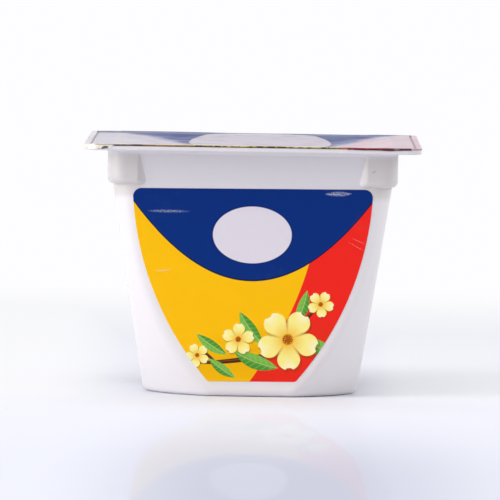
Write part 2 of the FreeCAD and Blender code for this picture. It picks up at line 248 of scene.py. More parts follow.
def blend_colour(tree, mask, under, over, kind="MIX"):
    """Lays one colour over another where the mask is 1."""
    node = add_node(tree, "Mix", data_type="RGBA", blend_type=kind)
    plug(tree, mask, node.inputs[0])
    for place, value in ((6, under), (7, over)):
        if not isinstance(value, bpy.types.NodeSocket):
            value = (*value, 1.0)
        plug(tree, value, node.inputs[place])
    return node.outputs[2]


def lay_colours(tree, paint, *layers):
    """Lays colours over a paint in turn, each of them where its own mask is 1."""
    for mask, over in layers:
        paint = blend_colour(tree, mask, paint, over)
    return paint


def new_group(name, inputs, outputs):
    """Starts a shader node group from (name, kind, default) rows, and gives the sockets
    that bring its inputs and those that take its results."""
    group = bpy.data.node_groups.new(name, "ShaderNodeTree")
    for rows, direction in ((inputs, "INPUT"), (outputs, "OUTPUT")):
        for label, kind, *default in rows:
            socket = group.interface.new_socket(
                label, in_out=direction, socket_type="NodeSocket" + kind)
            if default:
                socket.default_value = default[0]
    given, result = (group.nodes.new("NodeGroup" + end) for end in ("Input", "Output"))
    return group, given.outputs, result.inputs


def use_group(tree, name, inputs):
    """Places a node group in a tree and feeds its inputs by name."""
    node = tree.nodes.new("ShaderNodeGroup")
    node.node_tree = bpy.data.node_groups[name]
    for label, value in inputs.items():
        plug(tree, value, node.inputs[label])
    return node


def arrange(tree):
    """Sets the nodes out in columns, each to the left of what it feeds."""
    column = {node: 0 for node in tree.nodes}
    for _ in range(len(tree.nodes)):
        moved = False
        for link in tree.links:
            if column[link.from_node] < column[link.to_node] + 1:
                column[link.from_node] = column[link.to_node] + 1
                moved = True
        if not moved:
            break
    filled = {}
    for node, place in column.items():
        row = filled.get(place, 0)
        node.location = (-220 * place, -190 * row)
        filled[place] = row + 1


def end_group(group, result, *values):
    """Feeds a group's results in their order and sets its nodes out."""
    for value, socket in zip(values, result):
        plug(group, value, socket)
    arrange(group)


def empty_tree(owner, output_kind):
    """Empties the node tree of a material or a world and adds its output."""
    owner.use_nodes = True
    tree = owner.node_tree
    tree.nodes.clear()
    return tree, add_node(tree, output_kind)


# ---------------------------------------------------------------- effects


def build_lens():
    """A pointed oval that may be bent: a leaf, a twig, a scratch or a scuff."""
    group, given, result = new_group("Pointed oval", [
        ("Position", "Vector"), ("Centre", "Vector"), ("Turn", "Float", 0.0),
        ("Half length", "Float", 5.0), ("Half width", "Float", 1.0), ("Bend", "Float", 0.0),
        ("Softness", "Float", 0.15)],
        [("Mask", "Float"), ("Along", "Float"), ("Across", "Float")])
    turned = add_node(group, "VectorRotate", {
        "Vector": given["Position"], "Center": given["Centre"],
        "Angle": Signal(group, given["Turn"]) * -1.0}, rotation_type="Z_AXIS")
    local = add_node(group, "VectorMath", {
        0: turned.outputs[0], 1: given["Centre"]}, operation="SUBTRACT")
    x, y, _ = split(group, local.outputs[0])
    along = x / given["Half length"]
    belly = 1.0 - along * along
    across = y - belly * given["Bend"]
    depth = belly * given["Half width"] - abs(across)
    mask = (depth / given["Softness"]).math("ADD", 0.5, clamp=True)
    mask = mask * abs(along).math("LESS_THAN", 1.0)
    end_group(group, result, mask, along, across)


def build_blossom():
    """A round blossom with notched petals, seen from the front."""
    group, given, result = new_group("Blossom", [
        ("Position", "Vector"), ("Centre", "Vector"), ("Turn", "Float", 0.0),
        ("Radius", "Float", 4.0), ("Petals", "Float", 5.0), ("Petal colour", "Color"),
        ("Heart colour", "Color")],
        [("Color", "Color"), ("Mask", "Float")])
    local = add_node(group, "VectorMath", {
        0: given["Position"], 1: given["Centre"]}, operation="SUBTRACT")
    x, y, _ = split(group, local.outputs[0])
    reach = add_node(group, "VectorMath", {0: local.outputs[0]}, operation="LENGTH")
    share = Signal(group, reach.outputs["Value"]) / given["Radius"]
    angle = y.math("ARCTAN2", x) + given["Turn"]
    wave = abs((angle * given["Petals"] * 0.5).math("COSINE"))
    # A petal's outline is round at its tip, with a small notch, and narrow at its foot.
    outline = wave.math("POWER", 0.42) * 0.62 + 0.38
    notch = wave.ramp(0.94, 1.0) * 0.07
    depth = (outline - notch - share) * given["Radius"]
    mask = depth.step(0.12)
    veins = noise(group, local.outputs[0], 1.4, 2.0)
    paint = blend_colour(
        group, (share + veins * 0.14).ramp(0.08, 0.72), given["Heart colour"],
        given["Petal colour"])
    tip = (share * wave).ramp(0.52, 0.95)
    fold = wave.ramp(0.34, 0.02) * share.ramp(0.1, 0.5)
    centre = (0.17 - share).step(0.06)
    grains = add_node(group, "TexVoronoi", {
        "Vector": local.outputs[0], "Scale": 2.6}, feature="F1")
    dots = (0.24 - Signal(group, grains.outputs["Distance"])).step(0.1)
    paint = lay_colours(
        group, paint, (tip * 0.55, (1.0, 0.97, 0.74)), (fold * 0.55, (0.50, 0.20, 0.0)),
        (centre, (0.42, 0.10, 0.004)), (dots * (0.2 - share).step(0.06), (0.98, 0.62, 0.06)))
    end_group(group, result, paint, mask)


# The sprig, in millimetres across and up the print. Each leaf and twig has a centre, turn,
# half length, half width and bend, and each blossom a centre, turn and radius.
LEAVES = (
    ((-9.2, 12.6), 2.55, 4.4, 1.25, 0.30), ((-6.6, 6.9), -0.62, 3.9, 1.15, -0.25),
    ((1.4, 9.0), -0.35, 5.6, 1.75, -0.5), ((0.2, 16.6), 2.2, 4.9, 1.5, 0.4),
    ((16.4, 11.6), -0.50, 5.2, 1.7, 0.5), ((12.0, 21.8), 1.25, 4.3, 1.35, -0.4))
TWIGS = (
    ((-1.5, 10.4), 0.16, 14.5, 0.578, -1.3), ((13.0, 18.2), 0.86, 5.6, 0.442, 0.4),
    ((-9.9, 9.6), -0.72, 3.4, 0.34, 0.2))
BLOSSOMS = (
    ((-12.6, 9.9), 0.5, 2.9), ((-2.9, 13.9), 1.0, 3.9), ((16.6, 22.6), 0.2, 3.2),
    ((8.9, 14.0), 0.25, 7.4))
INKS = ("Blue", "Outline", "Yellow", "Red", "Plain", "Petal", "Heart", "Leaf", "Twig")
INK_EDGE = 0.12  # softness of the print's edges
OVAL_MIDDLE = 0.1
OVAL_HALF_WIDTH = 9.35


def oval_of(tree, position, centre, turn, long, wide, bend=0.0, softness=INK_EDGE):
    """A pointed oval's mask, and the places along and across it."""
    lens = use_group(tree, "Pointed oval", {
        "Position": position, "Centre": (*centre, 0.0), "Turn": turn, "Half length": long,
        "Half width": wide, "Bend": bend, "Softness": softness})
    return [Signal(tree, socket) for socket in lens.outputs]


def draw_twig(group, paint, spot, twig_colour, *sizes):
    """A twig with a line of light along it."""
    mask, _, across = oval_of(group, spot, *sizes)
    light = (0.1 - abs(across - 0.12)).step(0.2)
    return lay_colours(
        group, paint, (mask, twig_colour), (light * mask * 0.45, (0.36, 0.15, 0.06)))


def draw_leaf(group, paint, spot, leaf_colour, centre, turn, long, wide, bend):
    """A leaf with one half lighter, slanting veins and a pale rib."""
    mask, along, across = oval_of(group, spot, centre, turn, long, wide, bend)
    veins = (along * 26.0 + abs(across) * 3.5).math("SINE").ramp(0.55, 1.0)
    rib = (0.09 - abs(across)).step(0.08)
    green = lay_colours(
        group, leaf_colour,
        (across.ramp(-0.5 * wide, 0.5 * wide), (0.20, 0.50, 0.07)),
        (veins * 0.3, (0.42, 0.62, 0.16)), (rib * 0.7, (0.50, 0.66, 0.22)))
    return blend_colour(group, mask, paint, green)


def draw_blossom(group, paint, spot, petal, heart, centre, turn, radius):
    """A blossom and its own shade, which falls down and to the right."""
    below = (centre[0] + 0.05 * radius, centre[1] - 0.07 * radius, 0.0)
    under = use_group(group, "Blossom", {
        "Position": spot, "Centre": below, "Turn": turn, "Radius": radius * 1.03})
    flower = use_group(group, "Blossom", {
        "Position": spot, "Centre": (*centre, 0.0), "Turn": turn, "Radius": radius,
        "Petal colour": petal, "Heart colour": heart})
    return lay_colours(
        group, paint,
        (Signal(group, under.outputs["Mask"]) * 0.4, (0.16, 0.05, 0.0)),
        (Signal(group, flower.outputs["Mask"]), flower.outputs["Color"]))


def build_print():
    """The print: a blue field with a bowed lower edge, yellow and red below it, a plain
    oval, and a sprig of blossom. Position is in millimetres, across and up."""
    group, given, result = new_group("Cup print", [
        ("Position", "Vector"), ("Bow low", "Float", 28.1), ("Bow rise", "Float", 0.0236),
        ("Red edge shift", "Float", -2.75), ("Red edge lean", "Float", 1.0),
        ("Oval height", "Float", 39.0), ("Oval half height", "Float", 6.8),
        ("Sprig place", "Vector"), ("Sprig scale", "Float", 1.0),
        *((ink, "Color") for ink in INKS)],
        [("Color", "Color"), ("Blue mask", "Float"), ("Ink edge", "Float")])
    x, y, _ = split(group, given["Position"])
    bow = y - (x * x * given["Bow rise"] + given["Bow low"])
    lean = (y * 0.746 - y * y * 0.00733) * given["Red edge lean"]
    red = (x - (lean + given["Red edge shift"])).step(INK_EDGE)
    paint = blend_colour(group, red, given["Yellow"], given["Red"])

    # The sprig, which may be moved and scaled, and a soft shade behind it.
    moved = add_node(group, "VectorMath", {
        0: given["Position"], 1: given["Sprig place"]}, operation="SUBTRACT")
    shrunk = add_node(group, "Math", {0: 1.0, 1: given["Sprig scale"]}, operation="DIVIDE")
    spot = add_node(group, "VectorMath", {
        0: moved.outputs[0], "Scale": shrunk.outputs[0]}, operation="SCALE").outputs[0]
    shade = oval_of(group, spot, (3.0, 10.6), 0.22, 21.0, 5.0, softness=7.0)[0]
    paint = blend_colour(group, shade * 0.16, paint, (0.30, 0.08, 0.0))
    for twig in TWIGS:
        paint = draw_twig(group, paint, spot, given["Twig"], *twig)
    for leaf in LEAVES:
        paint = draw_leaf(group, paint, spot, given["Leaf"], *leaf)
    for blossom in BLOSSOMS:
        paint = draw_blossom(group, paint, spot, given["Petal"], given["Heart"], *blossom)

    # The blue field over the sprig, its outline, and the oval with a thin ring.
    blue = bow.step(INK_EDGE)
    line = (0.17 - abs(bow + 0.05)).step(0.14)
    oval_x = (x - OVAL_MIDDLE) / OVAL_HALF_WIDTH
    oval_y = (y - given["Oval height"]) / given["Oval half height"]
    oval_reach = (oval_x * oval_x + oval_y * oval_y).math("SQRT")
    oval = (1.0 - oval_reach).step(0.02)
    ring = (0.012 - abs(oval_reach - 1.022)).step(0.02)
    paint = lay_colours(
        group, paint, (blue, given["Blue"]), (line, given["Outline"]), (oval, given["Plain"]),
        (ring * 0.6, given["Outline"]))
    grain = noise(group, given["Position"], 7.0, 2.0)
    paint = blend_colour(group, grain * 0.12, paint, (0.8, 0.8, 0.8), "MULTIPLY")
    end_group(group, result, paint, blue * (1.0 - oval), line)


def build_handling_marks():
    """Marks of handling: sparse specks, rubbed patches and fine scratches."""
    group, given, result = new_group("Handling marks", [
        ("Position", "Vector"), ("Speck density", "Float", 0.5), ("Rub", "Float", 0.5),
        ("Scratch", "Float", 0.5)],
        [("Specks", "Float"), ("Rubbed", "Float"), ("Scratches", "Float")])
    spot = given["Position"]
    cells = add_node(group, "TexVoronoi", {"Vector": spot, "Scale": 420.0}, feature="F1")
    chance, size, _ = split(group, cells.outputs["Color"])
    limit = 1.0 - Signal(group, given["Speck density"]) * 0.06
    chosen = (chance - limit).math("GREATER_THAN", 0.0)
    speck = (size * 0.10 + 0.02 - Signal(group, cells.outputs["Distance"])).step(0.04)
    rubbed = noise(group, spot, 55.0, 4.0, 0.6).ramp(0.60, 0.76)
    rubbed = rubbed * noise(group, spot, 900.0).ramp(0.35, 0.7)
    strokes = noise(group, spot, 260.0, 2.0, 0.5, stretch=(0.16, 1.0, 2.4))
    hair = (0.012 - abs(strokes - 0.5)).step(0.012)
    hair = hair * noise(group, spot, 90.0).ramp(0.56, 0.66)
    end_group(
        group, result, chosen * speck, rubbed * given["Rub"], hair * given["Scratch"])


def new_material(name):
    """A material with a Principled BSDF, and the place of each point on its surface."""
    material = bpy.data.materials.new(name)
    tree, output = empty_tree(material, "OutputMaterial")
    shader = add_node(tree, "BsdfPrincipled")
    plug(tree, shader.outputs["BSDF"], output.inputs["Surface"])
    return material, tree, shader, add_node(tree, "TexCoord").outputs["Object"]


def finish_shader(tree, shader, paint, gloss, height, strength):
    """Feeds a shader its colour, its roughness and the relief of its surface."""
    plug(tree, paint, shader.inputs["Base Color"])
    plug(tree, gloss, shader.inputs["Roughness"])
    bump = add_node(tree, "Bump", {"Height": height, "Distance": 1.0, "Strength": strength})
    plug(tree, bump.outputs[0], shader.inputs["Normal"])
    arrange(tree)


def handling_marks(tree, spot, density, rub, scratch):
    """The masks of specks, rubbed patches and scratches."""
    marks = use_group(tree, "Handling marks", {
        "Position": spot, "Speck density": density, "Rub": rub, "Scratch": scratch})
    return [Signal(tree, socket) for socket in marks.outputs]


def lay_material(piece, material):
    """Gives a piece this one material."""
    piece.data.materials.clear()
    piece.data.materials.append(material)


def place_print(tree, inks, position, **layout):
    """Adds the cup's print in the user's inks, read at this position in millimetres."""
    inputs = {ink: (*getattr(inks, ink.lower()), 1.0) for ink in INKS}
    for name, value in layout.items():
        inputs[name.replace("_", " ").capitalize()] = value
    return use_group(tree, "Cup print", {"Position": position, **inputs})


def mark(tree, position, centre, turn, long, wide, softness=0.1):
    """The mask of one scuff, crease or scratch on a printed face."""
    return oval_of(tree, position, centre, turn, long, wide, softness=softness)[0]


def add_marks(tree, position, rows):
    """The sum of several marks, each row of which ends with the mark's strength."""
    return sum(mark(tree, position, *row[:-1]) * row[-1] for row in rows)


def finish_tub_plastic(finish):
    """White polystyrene, half gloss, with soft waves and a little dust."""
    material, tree, shader, spot = new_material("tub_polystyrene")
    specks, rubbed, scratches = handling_marks(tree, spot, 0.12, 0.25, 0.2)
    x, y, z = split(tree, spot)
    # The wall is painted darker in a band below the flange, a painted shade under it. The
    # lugs are painted a little darker and warmer, a painted shade.
    shade_edge_noise = noise(tree, spot, 42.0, 2.0, stretch=(1.0, 1.0, 0.35))
    # empty is the mask of that painted shade below the flange.
    empty = (z + shade_edge_noise * 0.002).ramp(0.0470, 0.0535)
    paint = blend_colour(tree, empty, finish.plastic[:], finish.painted_light[:])
    lug_shade = (abs(x) - 0.0262).step(0.0016) * (z - 0.0478).step(0.0012)
    lug_shade = lug_shade * (0.0578 - z).step(0.0008)
    paint = blend_colour(tree, lug_shade, paint, (0.90, 0.885, 0.835), "MULTIPLY")
    # A small dark scuff on the right-hand front lug.
    flat = add_node(tree, "CombineXYZ", {0: x * 1000.0, 1: z * 1000.0}).outputs[0]
    front = (y + 0.031).math("LESS_THAN", 0.0)
    scuff = mark(tree, flat, (28.7, 54.5), 0.5, 0.55, 0.22, softness=0.25) * front
    paint = lay_colours(
        tree, paint, (scuff * 0.55, finish.dust[:]),
        (specks * 0.6 + rubbed * 0.04, finish.dust[:]))
    gloss = 0.30 + rubbed * 0.25 + scratches * 0.15 + noise(tree, spot, 300.0) * 0.08
    shader.inputs["IOR"].default_value = 1.52
    # Waves left by the mould, then a fine grain of the sheet.
    waves = noise(tree, spot, 95.0, 1.5, 0.4, stretch=(1.0, 1.0, 0.55))
    grain = noise(tree, spot, 2600.0, 2.0)
    height = waves * finish.ripple + grain * 1.5e-6 - scratches * 6e-6
    finish_shader(tree, shader, paint, gloss, height, 0.8)
    return material


def finish_printed_label(inks):
    """Glossy printed paper with scuffs, creases and a nick in its upper edge."""
    material, tree, shader, spot = new_material("label_print")
    flat = add_node(tree, "Mapping", {
        "Vector": spot, "Rotation": (-math.pi / 2, 0.0, 0.0), "Scale": (1000, 0, 1000)},
        vector_type="POINT").outputs[0]
    cup_print = place_print(tree, inks, flat)
    specks, rubbed, scratches = handling_marks(tree, spot, 0.10, 0.5, 0.4)
    # Worn places, in millimetres across and up: centre, turn, half length, half width,
    # softness and strength. The first three break up into crumbs.
    crumbs = noise(tree, flat, 3.5, 3.0, 0.65).ramp(0.42, 0.62)
    wear = crumbs * add_marks(tree, flat, (
        ((-19.8, 44.4), 0.0, 4.9, 0.32, 0.3, 0.55),
        ((24.8, 36.6), -0.5, 2.2, 0.07, 0.1, 0.5),
        ((20.3, 49.1), 0.02, 3.2, 0.5, 0.3, 0.9)))
    wear = wear + add_marks(tree, flat, (
        ((-20.9, 30.2), 0.05, 2.0, 0.14, 0.1, 0.35),
        ((25.3, 37.9), -0.4, 1.6, 0.05, 0.1, 0.35)))
    # The cut edge of the paper shows white.
    facing = split(tree, add_node(tree, "NewGeometry").outputs["Normal"])[1]
    cut = (facing + 0.8).step(0.2)
    paint = lay_colours(
        tree, cup_print.outputs["Color"], (wear + rubbed * 0.05, (0.62, 0.64, 0.74)),
        (specks * 0.7, (0.7, 0.7, 0.74)), (cut * 0.8, inks.plain[:]))
    gloss = 0.34 + rubbed * 0.2 + scratches * 0.1 + noise(tree, spot, 220.0) * 0.06
    shader.inputs["Specular IOR Level"].default_value = 0.08
    cockle = noise(tree, spot, 120.0, 2.0, 0.5, stretch=(0.7, 1.0, 1.2))
    fibre = noise(tree, spot, 3200.0, 2.0)
    height = cockle * 2.5e-5 + fibre * 1.5e-6 + wear * 1.2e-5
    height = height + Signal(tree, cup_print.outputs["Ink edge"]) * 2e-6 - scratches * 4e-6
    finish_shader(tree, shader, paint, gloss, height, 0.8)
    return material


# The lid's print is larger than the label's. The anchor is one point, in millimetres, on
# the print and on the lid.
LID_PRINT_GROWTH = 1.86
PRINT_ANCHOR = (OVAL_MIDDLE, 39.0)
LID_ANCHOR = (1.5, 22.0)
CREASE_HALF_WIDTH = 0.28 * MM
SEAL_WIDTH = 6.6 * MM
KNURL_WAVES = 5200.0  # radians per metre


def paint_lid_fields(tree, inks, spot, streaks):
    """The lid's print, washed out at its sides by a painted reflection, with a painted sheen
    on its blue and painted shade in its dents.
    """
    x, y, _ = split(tree, spot)
    shift = [on_print - on_lid / LID_PRINT_GROWTH
             for on_print, on_lid in zip(PRINT_ANCHOR, LID_ANCHOR)]
    scale = 1000 / LID_PRINT_GROWTH
    flat = add_node(tree, "Mapping", {
        "Vector": spot, "Location": (*shift, 0.0), "Scale": (scale, scale, 0)},
        vector_type="POINT").outputs[0]
    cup_print = place_print(
        tree, inks, flat, bow_low=30.4, bow_rise=0.0521, red_edge_shift=10.5,
        red_edge_lean=0.0, oval_height=40.1, oval_half_height=7.7,
        sprig_place=(-2.5, 6.0, 0.0), sprig_scale=0.75, plain=(*inks.bare_foil_and_reflection, 1.0))

    # The lower edge of the blue: a bow on the right and a smooth rise on the left, where
    # the blue spreads further than the print's own. A painted sheen lies on it in pale
    # streaks, everywhere but in a strip at the back.
    right = x.math("GREATER_THAN", 0.0)
    right_bow = (x - 0.0013) * (x - 0.0013) * 28.0 + 0.006
    left_bow = (x * -1.0).ramp(0.0, 0.034) * 0.0235 + 0.006
    above = y - right_bow * right - left_bow * (1.0 - right)
    spread = (-0.0180 - x).step(0.0006) * above.step(0.0006)
    field = Signal(tree, cup_print.outputs["Blue mask"]).most(spread)
    painted_light = y.ramp(0.0365, 0.0260) * streaks.ramp(0.34, 0.62) * 0.42

    # Below it the fields fade at both sides into the grey of bare foil, here a painted
    # reflection over the print, in two frayed steps, and stop at slanted edges. On the right
    # that painted reflection keeps a little of the red.
    frayed = y + streaks * 0.006
    near = frayed.ramp(-0.015, 0.003) * abs(x).ramp(0.011, 0.020)
    outer = frayed.ramp(-0.026, -0.013) * abs(x).ramp(0.0215, 0.0265)
    behind = y.most(0.0)
    left_edge = y.ramp(-0.012, 0.0) * 0.0053 - 0.0315 - behind * 0.267 - x
    right_edge = x - behind * 0.108 - 0.0315
    edges = left_edge.step(0.0025).most(right_edge.step(0.0025) * 0.88)
    under = (streaks * y.ramp(0.0385, 0.031) * 0.008 - above).ramp(-0.003, 0.004)
    bare_foil_and_reflection = near.most(outer).most(edges) * under
    pink = y.ramp(0.032, 0.026) * 0.09 + (x - 0.0385).step(0.0004) * 0.10

    # Streaks of blue and red over the painted reflection near the right-hand side.
    haze = (x - 0.0225).step(0.002) * under * x.ramp(0.0360, 0.0280)
    haze = haze * streaks.ramp(0.40, 0.60) * y.ramp(0.022, 0.030)
    smear = (streaks + x * 3.0).ramp(0.60, 0.66) * y.ramp(0.032, 0.026)
    smear = smear * (x - 0.0245).step(0.002) * y.ramp(0.002, 0.012)

    # Painted shade in the dents of the creased foil, and pinpricks towards its sides.
    wrinkle_shade = noise(tree, spot, 520.0, 2.0, stretch=(0.3, 1.5, 1.0)).ramp(0.54, 0.66)
    far_half = y.ramp(0.004, 0.014)
    pricks = noise(tree, spot, 1300.0, 1.0).ramp(0.62, 0.70)
    beside = (abs(x) - 0.0285).step(0.003) * y.ramp(0.034, 0.026) * far_half
    return lay_colours(
        tree, cup_print.outputs["Color"], (spread, inks.blue[:]),
        (painted_light * field, inks.wear_and_sheen[:]), (bare_foil_and_reflection * (1.0 - pink * right), inks.bare_foil_and_reflection[:]),
        (haze * 0.5, inks.wear_and_sheen[:]), (smear * 0.55, inks.blush[:]),
        (wrinkle_shade * (0.08 + far_half * 0.20), (0.11, 0.10, 0.27)),
        (pricks * beside * 0.6, (0.09, 0.05, 0.10)))


def paint_cut_edge(tree, inks, spot):
    """The foil's cut edge, in the print's colours darkened as painted shade of the gap
    beneath
    it: beaded dark over dull yellow in the middle of the front, brown and black to the left
    of it and maroon to the right. The other sides are bare."""
    x, y, _ = split(tree, spot)
    beads = noise(tree, spot, 950.0, 1.5).ramp(0.42, 0.54)
    return lay_colours(
        tree, (0.42, 0.40, 0.06), (beads, (0.016, 0.014, 0.016)),
        ((-0.0150 - x).step(0.002), (0.20, 0.15, 0.11)),
        ((-0.0262 - x).step(0.0008), (0.012, 0.009, 0.012)),
        ((x - 0.0205).step(0.0006), (0.70, 0.16, 0.05)),
        ((x - 0.0222).step(0.0006), (0.060, 0.004, 0.012)),
        ((y + 0.0375).step(0.001), inks.bare_foil_and_reflection[:]))


def paint_crumpled_corner(tree, lid, spot):
    """The crumpled front left corner, where the pale back of the foil shows: its mask and
    its colour, with painted shade in its folds and a painted shadow in the pocket beneath it."""
    x, y, z = split(tree, spot)
    across, back = x + lid.side / 2, y + lid.side / 2
    from_corner = (across * across + back * back).math("SQRT")
    crumpled = (0.0066 - from_corner + noise(tree, spot, 700.0) * 0.001).step(0.0008)
    # Painted shade in the folds, and a painted shadow in the pocket under the corner.
    folds = noise(tree, spot, 560.0, 2.0).ramp(0.62, 0.68)
    upright = add_node(tree, "CombineXYZ", {0: x * 1000.0, 1: z * 1000.0}).outputs[0]
    shadow_pocket = mark(tree, upright, (-35.0, 59.55), 0.25, 0.95, 0.42, softness=0.2)
    torn = lay_colours(
        tree, (0.86, 0.78, 0.66), (folds * 0.6, (0.12, 0.10, 0.06)),
        (shadow_pocket * 0.9, (0.035, 0.030, 0.010)))
    return crumpled * z.ramp(0.0604, 0.0601), torn


def finish_printed_foil(inks, lid):
    """Lacquered foil with the print, a knurled seal and fine wrinkles."""
    material, tree, shader, spot = new_material("foil_print")
    specks, rubbed, scratches = handling_marks(tree, spot, 0.2, 0.6, 0.8)
    x, y, _ = split(tree, spot)
    inset = lid.side / 2 - abs(x).most(abs(y))
    streaks = noise(tree, spot, 300.0, 3.0, 0.6, stretch=(0.45, 1.7, 1.0))
    paint = paint_lid_fields(tree, inks, spot, streaks)

    # The seal: a knurl inside a crease, and a rim outside it that is dirty at the sides and
    # carries a painted highlight along the left side. The knurl's dimples and the crease are
    # painted dark as painted shade, the crease darkest at the back.
    crease = (CREASE_HALF_WIDTH - abs(inset - lid.seal_inset)).step(0.00012)
    rim = (lid.seal_inset - inset).step(0.0002)
    seal = (SEAL_WIDTH - inset).step(0.0006) * (1.0 - rim)
    knurl = ((x + y) * KNURL_WAVES).math("SINE") * ((x - y) * KNURL_WAVES).math("SINE")
    sides = (abs(x) - lid.side / 2 + 0.0070).step(0.001)
    dirt = noise(tree, spot, 1100.0, 1.0).ramp(0.55, 0.66) * y.ramp(0.022, 0.008)
    lip = (0.00014 - inset).step(0.00006)
    wear_and_sheen = noise(tree, spot, 420.0, 3.0).ramp(0.52, 0.66) * rim
    paint = lay_colours(
        tree, paint, (rim * sides * (0.001 - x).step(0.001) * 0.85, inks.plain[:]),
        (dirt * rim * sides * 0.7, (0.10, 0.06, 0.09)),
        (knurl.ramp(0.25, 0.85) * seal * (sides * 0.08 + 0.20), (0.06, 0.05, 0.09)),
        (crease * (0.72 + y.ramp(0.028, 0.036) * 0.28), (0.018, 0.014, 0.045)),
        # The cut edge, with its painted shade.
        (lip * 0.94, paint_cut_edge(tree, inks, spot)),
        paint_crumpled_corner(tree, lid, spot),
        (wear_and_sheen * 0.25 + rubbed * 0.12, (0.66, 0.64, 0.70)),
        (specks * 0.6, (0.8, 0.8, 0.84)))
    shader.inputs["Metallic"].default_value = 0.25
    shader.inputs["Specular IOR Level"].default_value = 0.55
    gloss = 0.28 + rubbed * 0.2 + scratches * 0.1 + noise(tree, spot, 160.0) * 0.12
    wrinkle = noise(tree, spot, 210.0, 3.0, 0.55)
    folds = noise(tree, spot, 90.0, 2.0, 0.5, stretch=(1.0, 2.2, 1.0))
    ridge = 0.5 - abs(folds - 0.5)
    height = wrinkle * 9e-5 + ridge * ridge * 3.6e-4 + streaks * 3e-5
    height = height + knurl * seal * 1.6e-5 - crease * 4e-5 - scratches * 5e-6
    finish_shader(tree, shader, paint, gloss, height, 0.9)
    return material


# ---------------------------------------------------------------- the foil lid


def select_where(piece, wanted):
    """Selects those vertices of the piece in edit mode for which wanted(place) holds."""
    bpy.ops.object.mode_set(mode="EDIT")
    bpy.ops.mesh.select_mode(type="VERT")
    bpy.ops.mesh.select_all(action="DESELECT")
    bpy.ops.object.mode_set(mode="OBJECT")
    for vertex in piece.data.vertices:
        vertex.select = wanted(vertex.co)
    bpy.ops.object.mode_set(mode="EDIT")


def lower_selected(depth):
    """Moves what is selected down."""
    bpy.ops.transform.translate(value=(0, 0, -depth))


def cut_sheet(place, direction, clear=False):
    """Cuts the whole sheet along a plane, and may drop what lies beyond it."""
    bpy.ops.mesh.select_all(action="SELECT")
    bpy.ops.mesh.bisect(plane_co=place, plane_no=direction, clear_outer=clear)


def round_sheet_corners(sizes):
    """Cuts the four corners of the sheet round, in six chords each."""
    middle = sizes.side / 2 - sizes.corner
    for quarter in range(4):
        corner = math.radians(90 * quarter + 45)
        centre = Vector((math.copysign(middle, math.cos(corner)),
                         math.copysign(middle, math.sin(corner)), FOIL_TOP))
        for chord in range(1, 7):
            angle = math.radians(90 * quarter + chord * 90 / 7)
            out = Vector((math.cos(angle), math.sin(angle), 0))
            cut_sheet(centre + out * sizes.corner, out, clear=True)


def cut_crease_lines(sizes):
    """Adds edges along the seal crease and on each side of it."""
    for offset in (-CREASE_HALF_WIDTH, 0.0, CREASE_HALF_WIDTH):
        reach = sizes.side / 2 - sizes.seal_inset + offset
        for place, direction in (((reach, 0, 0), (1, 0, 0)), ((-reach, 0, 0), (1, 0, 0)),
                                 ((0, reach, 0), (0, 1, 0)), ((0, -reach, 0), (0, 1, 0))):
            cut_sheet(place, direction)


def add_modifier(piece, name, kind, **settings):
    """Adds a modifier with these settings and applies it."""
    modifier = piece.modifiers.new(name, kind)
    for label, value in settings.items():
        setattr(modifier, label, value)
    bpy.ops.object.modifier_apply(modifier=modifier.name)


def ripple_sheet(lid, sizes):
    """Raises and lowers the sheet in soft waves, more in its middle than at its seal."""
    edge_share, full_inset = 0.35, 12 * MM
    group = lid.vertex_groups.new(name="field")
    for vertex in lid.data.vertices:
        inset = sizes.side / 2 - max(abs(vertex.co.x), abs(vertex.co.y))
        group.add([vertex.index], min(1.0, edge_share + inset / full_inset), "REPLACE")
    waves = bpy.data.textures.new("foil_waves", "CLOUDS")
    waves.noise_scale = 0.011
    waves.noise_depth = 1
    add_modifier(
        lid, "waves", "DISPLACE", texture=waves, texture_coords="LOCAL", direction="Z",
        mid_level=0.5, strength=sizes.ripple, vertex_group="field")


def raise_edges(lid, sizes):
    """Lifts the far edge, which bows up between its corners, the front right corner and
    the rims, and keeps the sheet inside its room."""
    far_strip, corner_reach = 6.8 * MM, 7 * MM
    corner_rise, side_rise, headroom = 0.10 * MM, 0.06 * MM, 0.004 * MM
    bpy.ops.object.mode_set(mode="OBJECT")
    half = sizes.side / 2
    for vertex in lid.data.vertices:
        place = vertex.co
        far = max(0.0, (place.y - half + far_strip) / far_strip)
        bow = 0.75 - 0.25 * math.cos(place.x * 84 - 0.5) + 0.10 * math.sin(place.x * 230)
        corner = max(0.0, 1 - math.hypot(place.x - half, place.y + half) / corner_reach)
        side = max(0.0, (abs(place.x) - half + sizes.seal_inset) / sizes.seal_inset)
        front = max(0.0, (-place.y - half + sizes.seal_inset) / sizes.seal_inset)
        place.z += sizes.far_rise * far * bow + corner_rise * corner + side_rise * side
        place.z += sizes.curl * front * (0.85 + 0.15 * math.sin(place.x * 410))
        place.z = min(place.z, FOIL_TOP - headroom)


